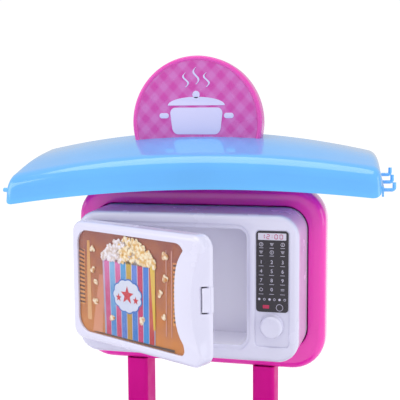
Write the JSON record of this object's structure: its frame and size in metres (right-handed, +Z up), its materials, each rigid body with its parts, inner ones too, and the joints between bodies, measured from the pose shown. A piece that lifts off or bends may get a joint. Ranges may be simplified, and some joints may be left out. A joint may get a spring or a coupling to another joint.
{
  "type": "toy kitchen",
  "caption": "Free-standing toy kitchen: cabinet with sink, hob, oven and cupboard, and on two posts a microwave with a swinging door under an arched canopy with a round sign.",
  "frame": {"origin": "on the floor, at the middle of the footprint, level with the undersides of the feet", "axes": "+Z up, -Y towards the child at the front, +X to the right as seen from the front"},
  "size_m": [0.54, 0.3, 1],
  "materials": {
    "blue_plastic": "gloss",
    "pink_plastic": "gloss",
    "magenta_plastic": "gloss",
    "white_plastic": "gloss",
    "grey_plastic": "satin",
    "black_label": "gloss",
    "clear_plastic": "clear",
    "printed_label": "printed, gloss",
    "steel": "plain"
  },
  "bodies": {
    "kitchen": {"canopy": "blue_plastic", "hook_rack": "blue_plastic", "side_peg": "blue_plastic", "canopy_crossbar": "blue_plastic", "canopy_screws": "steel", "sign_front": "pink_plastic", "sign_back": "pink_plastic", "sign_label": "printed_label", "back_panel": "pink_plastic", "back_cover": "pink_plastic", "back_cover_screws": "steel", "microwave_housing": "white_plastic", "cavity_liner": "white_plastic", "housing_screws": "steel", "control_label": "black_label", "door_hinge_pins": "steel", "post_left": "magenta_plastic", "post_right": "magenta_plastic", "upright_left": "magenta_plastic", "upright_right": "magenta_plastic", "worktop": "white_plastic", "sink_bowl": "grey_plastic", "sink_strainer": "grey_plastic", "tap_base": "grey_plastic", "hob_plate": "black_label", "burner_rings": "grey_plastic", "cabinet_side_left": "pink_plastic", "cabinet_side_right": "pink_plastic", "cabinet_divider": "pink_plastic", "cabinet_floor": "pink_plastic", "cabinet_back": "pink_plastic", "fascia": "blue_plastic", "oven_hinge_pins": "steel", "oven_rack": "grey_plastic", "cupboard_hinge_pins": "steel", "feet": "grey_plastic"},
    "microwave_door": {"door_frame": "white_plastic", "door_back_panel": "white_plastic", "door_catch": "white_plastic", "door_window": "clear_plastic", "door_picture": "printed_label"},
    "timer": {"timer_knob": "white_plastic"},
    "hob_knob_l": {"hob_knob_left": "white_plastic"},
    "hob_knob_r": {"hob_knob_right": "white_plastic"},
    "oven_knob_body": {"oven_knob": "white_plastic"},
    "spout": {"tap_spout": "grey_plastic"},
    "lever_left": {"tap_lever_left": "blue_plastic"},
    "lever_right": {"tap_lever_right": "pink_plastic"},
    "oven_door_body": {"oven_door": "white_plastic", "oven_window": "clear_plastic", "oven_handle": "magenta_plastic", "oven_handle_screws": "steel"},
    "cupboard_door_body": {"cupboard_door": "white_plastic", "cupboard_handle": "magenta_plastic", "cupboard_handle_screws": "steel"}
  },
  "joints": [
    {"name": "microwave_door_hinge", "type": "hinge", "parent": "kitchen", "child": "microwave_door", "pos_m": [-0.1335, 0.0074, 0.71425], "axis": [0, 0, -1], "range_deg": [-27.8, 70]},
    {"name": "timer_turn", "type": "hinge", "parent": "kitchen", "child": "timer", "pos_m": [0.1123, 0.0204, 0.6618], "axis": [0, 1, 0], "range_deg": [0, 270]},
    {"name": "hob_left_turn", "type": "hinge", "parent": "kitchen", "child": "hob_knob_l", "pos_m": [0.06, -0.132, 0.396], "axis": [0, 1, 0], "range_deg": [0, 270]},
    {"name": "hob_right_turn", "type": "hinge", "parent": "kitchen", "child": "hob_knob_r", "pos_m": [0.125, -0.132, 0.396], "axis": [0, 1, 0], "range_deg": [0, 270]},
    {"name": "oven_knob_turn", "type": "hinge", "parent": "kitchen", "child": "oven_knob_body", "pos_m": [0.19, -0.132, 0.396], "axis": [0, 1, 0], "range_deg": [0, 270]},
    {"name": "spout_swivel", "type": "hinge", "parent": "kitchen", "child": "spout", "pos_m": [-0.15, 0.062, 0.46], "axis": [0, 0, 1], "range_deg": [-60, 60]},
    {"name": "lever_left_turn", "type": "hinge", "parent": "kitchen", "child": "lever_left", "pos_m": [-0.188, 0.062, 0.46], "axis": [0, 0, 1], "range_deg": [0, 90]},
    {"name": "lever_right_turn", "type": "hinge", "parent": "kitchen", "child": "lever_right", "pos_m": [-0.112, 0.062, 0.46], "axis": [0, 0, 1], "range_deg": [-90, 0]},
    {"name": "oven_door_hinge", "type": "hinge", "parent": "kitchen", "child": "oven_door_body", "pos_m": [0.123, -0.126, 0.0285], "axis": [1, 0, 0], "range_deg": [0, 88]},
    {"name": "cupboard_door_hinge", "type": "hinge", "parent": "kitchen", "child": "cupboard_door_body", "pos_m": [-0.235, -0.126, 0.196], "axis": [0, 0, -1], "range_deg": [0, 90]}
  ]
}
